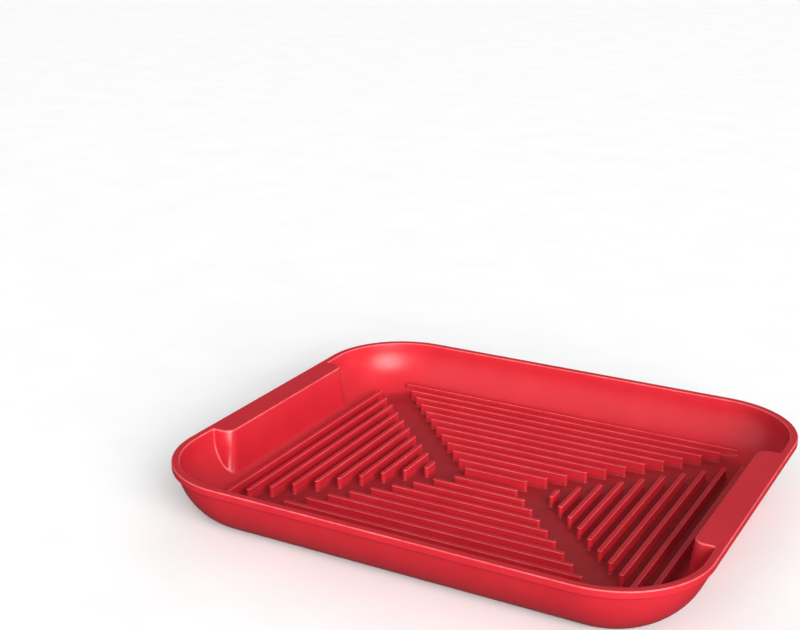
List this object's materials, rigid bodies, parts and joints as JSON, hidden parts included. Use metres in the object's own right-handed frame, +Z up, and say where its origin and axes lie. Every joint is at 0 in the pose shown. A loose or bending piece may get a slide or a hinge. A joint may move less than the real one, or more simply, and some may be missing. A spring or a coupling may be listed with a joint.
{
  "type": "developing tray",
  "caption": "Shallow rectangular darkroom developing tray with coved walls, a flat rim, hollow side grips and mitred fields of floor ribs that keep the print off the floor.",
  "frame": {"origin": "centre of the flat underside, on the surface that the tray stands on", "axes": "+X along the length, from grip to grip; +Y across the width, towards the back; +Z up"},
  "size_m": [0.33, 0.281, 0.035],
  "materials": {
    "moulded_plastic": "satin gloss, fine moulded grain"
  },
  "bodies": {
    "root": {"floor_panel": "moulded_plastic", "wall_front": "moulded_plastic", "wall_back": "moulded_plastic", "wall_left_front": "moulded_plastic", "wall_left_back": "moulded_plastic", "wall_right_front": "moulded_plastic", "wall_right_back": "moulded_plastic", "sill_left": "moulded_plastic", "sill_right": "moulded_plastic", "corner_front_left": "moulded_plastic", "corner_front_right": "moulded_plastic", "corner_back_left": "moulded_plastic", "corner_back_right": "moulded_plastic", "rim_front": "moulded_plastic", "rim_back": "moulded_plastic", "rim_left": "moulded_plastic", "rim_right": "moulded_plastic", "rim_corner_front_left": "moulded_plastic", "rim_corner_front_right": "moulded_plastic", "rim_corner_back_left": "moulded_plastic", "rim_corner_back_right": "moulded_plastic", "grip_left_lip": "moulded_plastic", "grip_left_face": "moulded_plastic", "grip_left_cheek_front": "moulded_plastic", "grip_left_cheek_back": "moulded_plastic", "grip_right_lip": "moulded_plastic", "grip_right_face": "moulded_plastic", "grip_right_cheek_front": "moulded_plastic", "grip_right_cheek_back": "moulded_plastic", "ribs_front": "moulded_plastic", "ribs_back": "moulded_plastic", "ribs_left": "moulded_plastic", "ribs_right": "moulded_plastic"}
  },
  "joints": []
}
